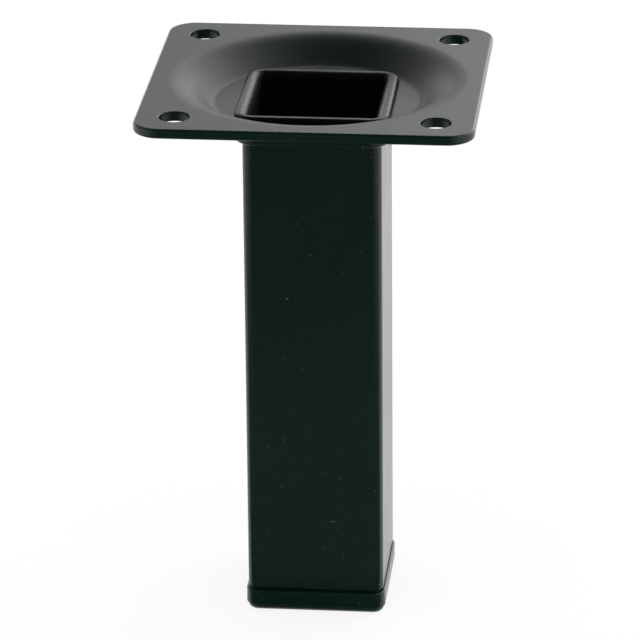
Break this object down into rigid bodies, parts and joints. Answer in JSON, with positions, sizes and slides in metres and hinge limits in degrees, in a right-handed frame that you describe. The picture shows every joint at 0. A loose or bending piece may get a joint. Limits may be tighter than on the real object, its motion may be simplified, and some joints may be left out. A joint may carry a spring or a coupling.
{
  "type": "square metal table leg",
  "caption": "Short square steel furniture leg: a dished screw-on mounting plate, a tube flared over the plate's drawn neck, and a push-in plastic glide as its foot.",
  "frame": {"origin": "middle of the foot's underside, where the leg stands on the floor", "axes": "+Z along the tube, up to the mounting plate; +X and +Y square to the tube's sides"},
  "size_m": [0.06, 0.06, 0.1],
  "materials": {
    "black_coat": "smooth semi-gloss black coating on steel, with a faint ripple",
    "black_plastic": "black moulded plastic with a satin surface"
  },
  "bodies": {
    "root": {"mounting_plate": "black_coat", "square_tube": "black_coat", "foot_plug": "black_plastic"}
  },
  "joints": []
}
